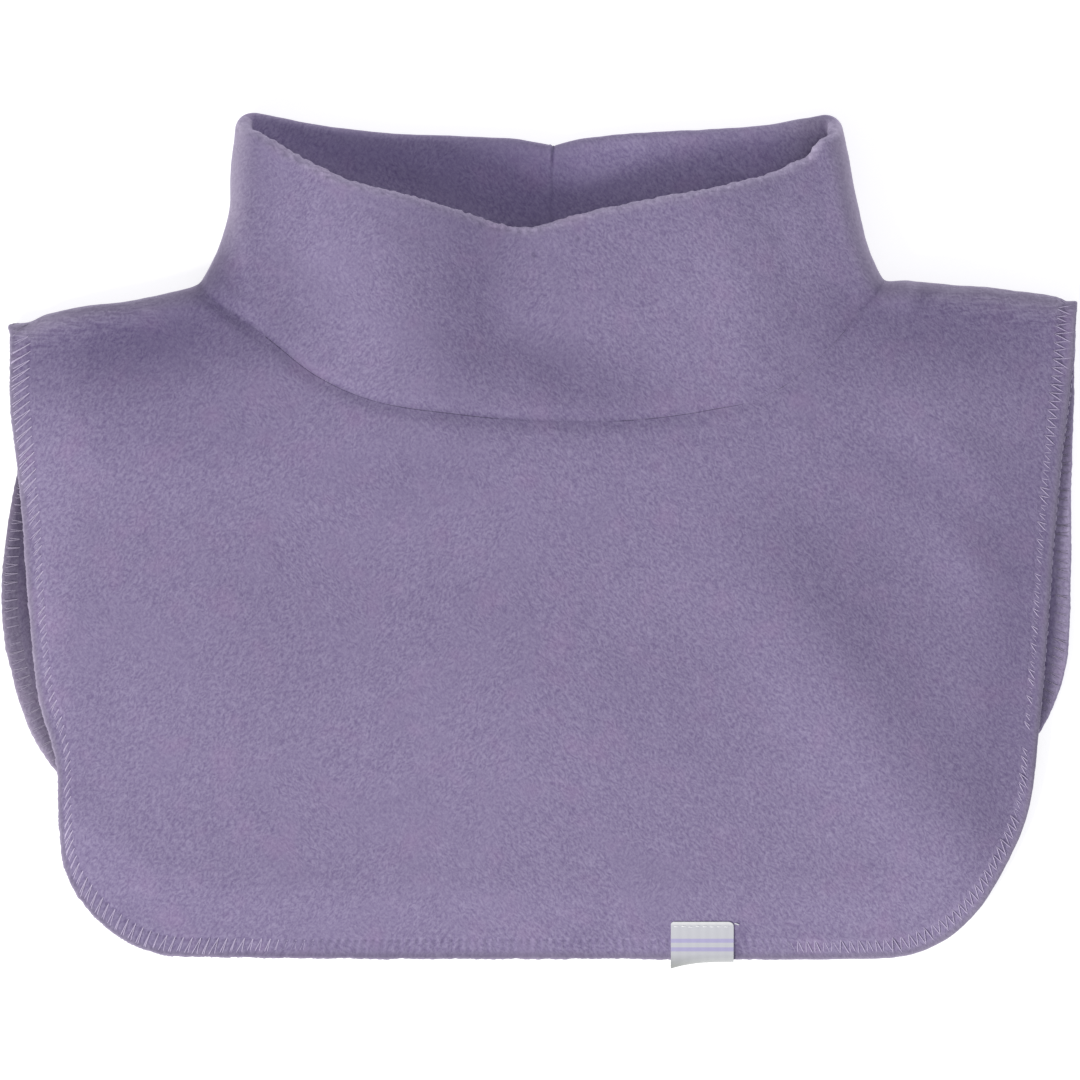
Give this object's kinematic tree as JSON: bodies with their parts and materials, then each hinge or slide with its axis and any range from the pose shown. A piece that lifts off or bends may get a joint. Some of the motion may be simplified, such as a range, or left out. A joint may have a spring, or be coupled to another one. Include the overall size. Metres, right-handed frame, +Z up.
{
  "type": "neck warmer",
  "caption": "Child's bib neck warmer of polar fleece: a doubled stand-up collar on a round-cornered yoke, lying flat on its back.",
  "frame": {"origin": "centre of the area that the neck warmer covers, on the surface it lies on", "axes": "+Z up from that surface, +Y toward the collar's opening, +X to the right of someone who looks straight down on the front"},
  "size_m": [0.3224, 0.2564, 0.0221],
  "materials": {
    "fleece": "short brushed pile, greyish lilac, matt",
    "label_ribbon": "white polyester satin ribbon, soft gloss"
  },
  "bodies": {
    "root": {"yoke": "fleece", "collar": "fleece", "label": "label_ribbon"}
  },
  "joints": []
}
